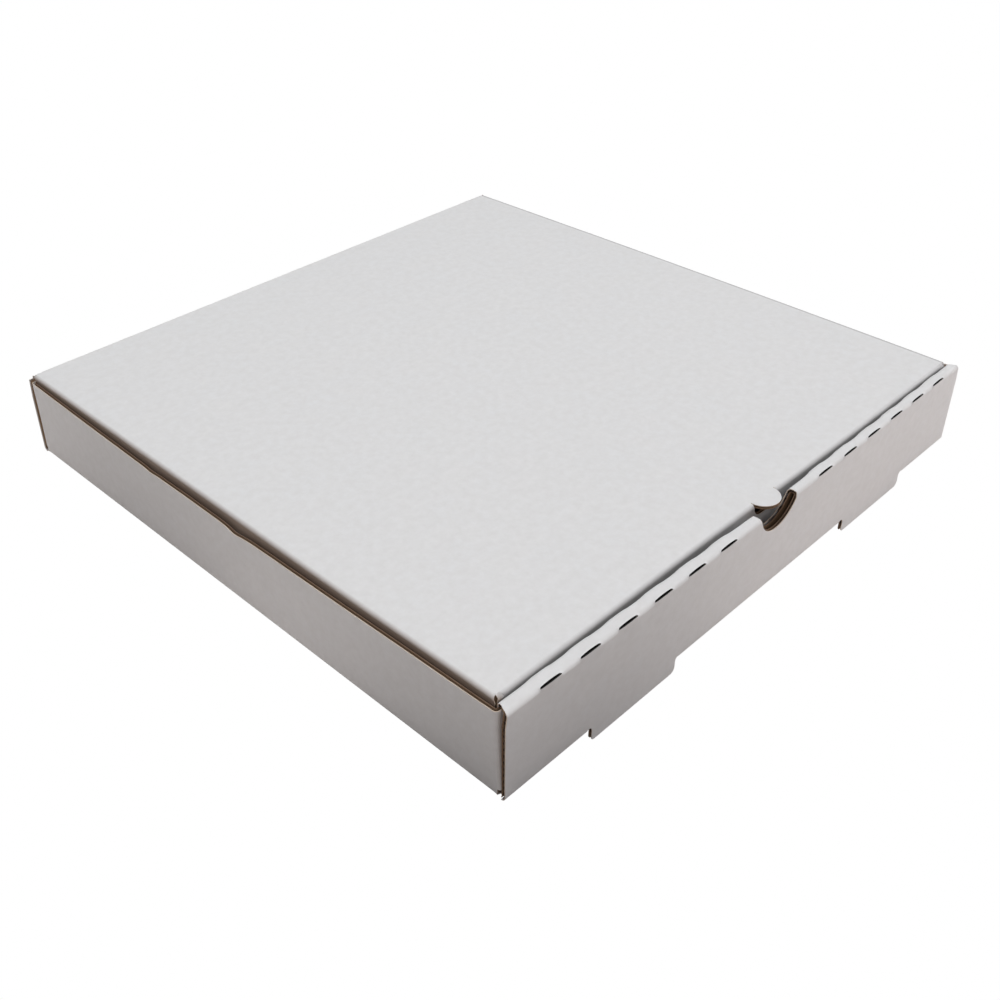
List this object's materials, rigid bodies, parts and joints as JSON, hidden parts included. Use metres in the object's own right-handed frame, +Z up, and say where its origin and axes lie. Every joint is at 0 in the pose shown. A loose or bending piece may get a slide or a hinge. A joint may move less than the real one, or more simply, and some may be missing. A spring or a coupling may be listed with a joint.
{
  "type": "pizza box",
  "caption": "Shallow square food box folded from white-lined fluted board, closed, with a roll-over front wall, thumb notch, front feet and a hinged lid that tucks inside.",
  "frame": {"origin": "under the middle of the closed box, level with the bottoms of its two front feet", "axes": "+Z up, front with the thumb notch towards -Y, +X to the right seen from the front"},
  "size_m": [0.314, 0.314, 0.0498],
  "materials": {
    "white_lined_board": "matt"
  },
  "bodies": {
    "tray": {"tray": "white_lined_board"},
    "lid": {"lid": "white_lined_board"}
  },
  "joints": [
    {"name": "lid_hinge", "type": "hinge", "parent": "tray", "child": "lid", "pos_m": [0, 0.15615, 0.04637], "axis": [-1, 0, 0], "range_deg": [0, 180]}
  ]
}
